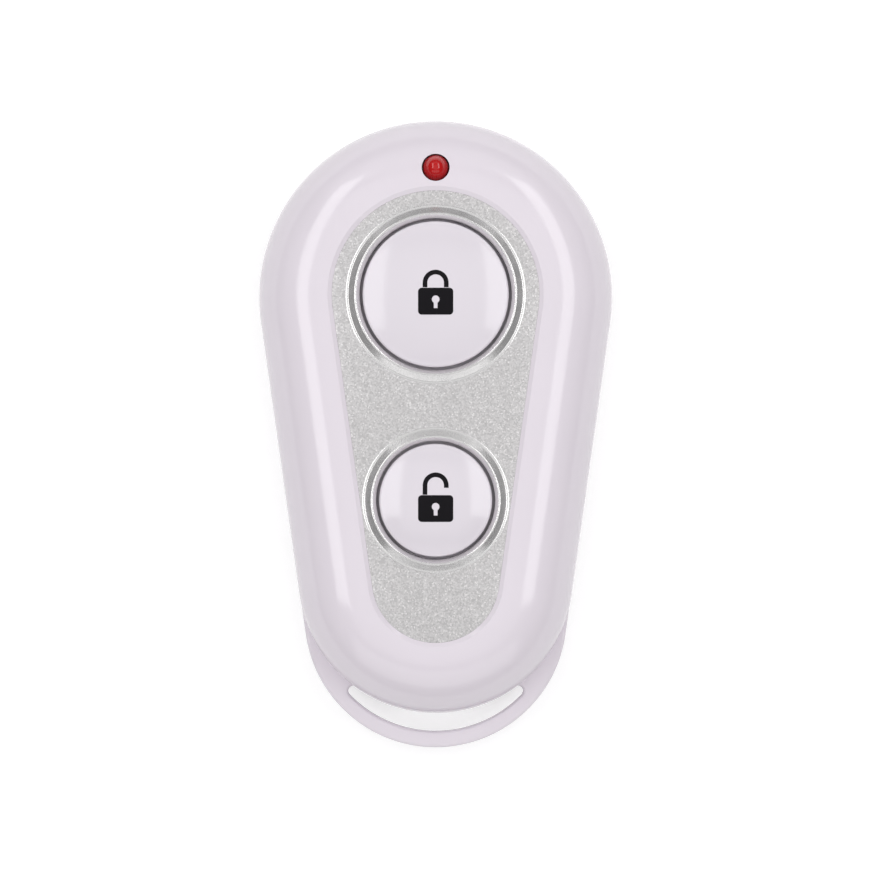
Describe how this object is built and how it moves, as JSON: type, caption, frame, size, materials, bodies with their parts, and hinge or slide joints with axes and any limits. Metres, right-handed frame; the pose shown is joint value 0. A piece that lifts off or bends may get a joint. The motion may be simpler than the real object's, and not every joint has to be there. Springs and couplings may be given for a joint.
{
  "type": "alarm key fob",
  "caption": "Teardrop radio key fob with domed push buttons in a silver panel, an indicator lamp and a lanyard bail; pressing a button works a switch on the board inside.",
  "frame": {"origin": "centre of the fob's box at its rear face, with the fob lying on its back", "axes": "+Y towards the lamp end, +Z out of the front through the buttons, +X to the right seen from the front"},
  "size_m": [0.0394, 0.07, 0.0141],
  "materials": {
    "white_case": "polished white plastic with a faint lavender cast",
    "white_button": "polished white plastic",
    "silver_panel": "silver paint with fine flakes",
    "red_lamp": "clear red epoxy",
    "bright_metal": "tin and nickel plate",
    "spring_steel": "bare stainless steel",
    "board_green": "green solder mask on glass fibre",
    "copper_trace": "gold flash on copper",
    "black_plastic": "moulded black plastic",
    "seal_plastic": "natural sealing plastic",
    "electrode": "pressed dark powder",
    "ceramic": "fired ceramic"
  },
  "bodies": {
    "case": {"rear_cover": "white_case", "front_cover": "white_case", "case_screw": "bright_metal", "silver_panel": "silver_panel", "circuit_board": "board_green", "antenna_loop": "copper_trace", "led_lens": "red_lamp", "led_leads": "bright_metal", "arm_switch_base": "black_plastic", "arm_switch_dome": "spring_steel", "arm_switch_cover": "spring_steel", "arm_switch_terminals": "bright_metal", "clear_switch_base": "black_plastic", "clear_switch_dome": "spring_steel", "clear_switch_cover": "spring_steel", "clear_switch_terminals": "bright_metal", "battery_can": "spring_steel", "battery_core": "electrode", "battery_gasket": "seal_plastic", "battery_cap": "spring_steel", "battery_clip": "spring_steel", "battery_contact": "copper_trace", "encoder_chip": "black_plastic", "encoder_leads": "bright_metal", "saw_resonator": "bright_metal", "rf_transistor": "black_plastic", "transistor_leads": "bright_metal", "chip_resistors": "black_plastic", "chip_capacitors": "ceramic"},
    "arm_button": {"arm_button": "white_button"},
    "arm_plunger": {"arm_switch_plunger": "black_plastic"},
    "clear_button": {"clear_button": "white_button"},
    "clear_plunger": {"clear_switch_plunger": "black_plastic"}
  },
  "joints": [
    {"name": "arm_press", "type": "slide", "parent": "case", "child": "arm_button", "axis": [0, 0, -1], "range_m": [0, 0.0003], "stiffness_N_per_m": 5000},
    {"name": "arm_plunger_slide", "type": "slide", "parent": "case", "child": "arm_plunger", "axis": [0, 0, -1], "range_m": [0, 0.0003], "deforming": ["arm_switch_dome"]},
    {"name": "clear_press", "type": "slide", "parent": "case", "child": "clear_button", "axis": [0, 0, -1], "range_m": [0, 0.0003], "stiffness_N_per_m": 5000},
    {"name": "clear_plunger_slide", "type": "slide", "parent": "case", "child": "clear_plunger", "axis": [0, 0, -1], "range_m": [0, 0.0003], "deforming": ["clear_switch_dome"]}
  ],
  "couplings": [
    {"joint": "arm_plunger_slide", "follows": "arm_press", "ratio": 1},
    {"joint": "clear_plunger_slide", "follows": "clear_press", "ratio": 1}
  ]
}
